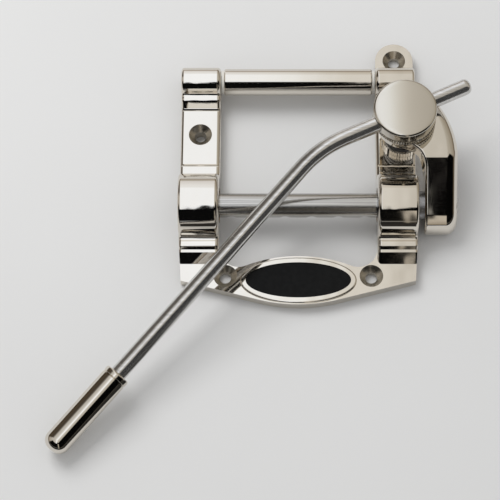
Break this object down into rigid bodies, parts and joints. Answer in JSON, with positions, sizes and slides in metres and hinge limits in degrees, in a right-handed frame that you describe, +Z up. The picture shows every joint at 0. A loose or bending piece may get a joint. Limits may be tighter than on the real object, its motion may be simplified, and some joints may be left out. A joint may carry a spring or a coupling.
{
  "type": "vibrato tailpiece",
  "caption": "Plated vibrato tailpiece: cast frame with string shaft and tension roller, sprung lever bracket, swivel head and bent arm with a rounded metal grip.",
  "frame": {"origin": "on the base plane, halfway between the two tail screw holes", "axes": "+X across the strings towards the lever bracket, +Y along the strings towards the bridge, +Z up from the instrument's top"},
  "size_m": [0.1636, 0.1752, 0.0356],
  "materials": {
    "nickel_cast": "polished nickel plate",
    "nickel_turned": "polished nickel plate, knurled",
    "stainless": "brushed along its length",
    "steel_small": "plain steel",
    "spring_steel": "drawn wire",
    "bronze": "sintered bronze",
    "nylon": "natural nylon",
    "black_enamel": "gloss black"
  },
  "bodies": {
    "base": {"frame": "nickel_cast", "oval_inlay": "black_enamel", "bearing_left": "bronze", "bearing_right": "bronze", "roller_axle": "steel_small", "axle_grub_screw": "steel_small", "tension_stud": "steel_small", "spring": "spring_steel"},
    "roller": {"tension_roller": "nickel_turned", "roller_bush_left": "nylon", "roller_bush_right": "nylon"},
    "rocker": {"string_shaft": "stainless", "lever_bracket": "nickel_cast", "shaft_spacer": "steel_small", "clamp_screw": "steel_small", "retaining_ring": "steel_small", "thrust_washer": "nylon", "swivel_bush": "bronze", "friction_washer": "nylon"},
    "swivel": {"swivel_head": "nickel_turned", "swivel_nut": "steel_small", "disc_spring": "spring_steel", "arm_grub_screw": "steel_small"},
    "liner": {"arm_liner": "nylon"},
    "arm": {"arm_rod": "stainless", "arm_grip": "nickel_turned"},
    "seat": {"spring_seat": "steel_small"},
    "wheel": {"tension_wheel": "nickel_turned"}
  },
  "joints": [
    {"name": "roller_spin", "type": "hinge", "parent": "base", "child": "roller", "pos_m": [0, 0.0827, 0.0088], "axis": [1, 0, 0], "continuous": true},
    {"name": "lever_rock", "type": "hinge", "parent": "base", "child": "rocker", "pos_m": [0, 0.02745, 0.0105], "axis": [-1, 0, 0], "range_deg": [-4, 9], "stiffness_Nm_per_rad": 9.3, "deforming": ["spring"]},
    {"name": "arm_swing", "type": "hinge", "parent": "rocker", "child": "swivel", "pos_m": [0.0415, 0.0581, 0.0308], "axis": [0, 0, 1], "range_deg": [-3, 250]},
    {"name": "arm_roll", "type": "hinge", "parent": "swivel", "child": "liner", "pos_m": [0.0415, 0.0581, 0.0308], "axis": [-0.9063, -0.4226, 0], "range_deg": [0, 150]},
    {"name": "arm_slide", "type": "slide", "parent": "liner", "child": "arm", "axis": [-0.9063, -0.4226, 0], "range_m": [-0.012, 0.014]},
    {"name": "seat_rise", "type": "slide", "parent": "base", "child": "seat", "axis": [0, 0, 1], "range_m": [0, 0.001]},
    {"name": "wheel_turn", "type": "hinge", "parent": "seat", "child": "wheel", "pos_m": [0.0415, 0.0581, 0.0084], "axis": [0, 0, 1], "range_deg": [0, 360]}
  ],
  "couplings": [
    {"joint": "seat_rise", "follows": "wheel_turn", "m_per_rad": 0.00015915}
  ]
}
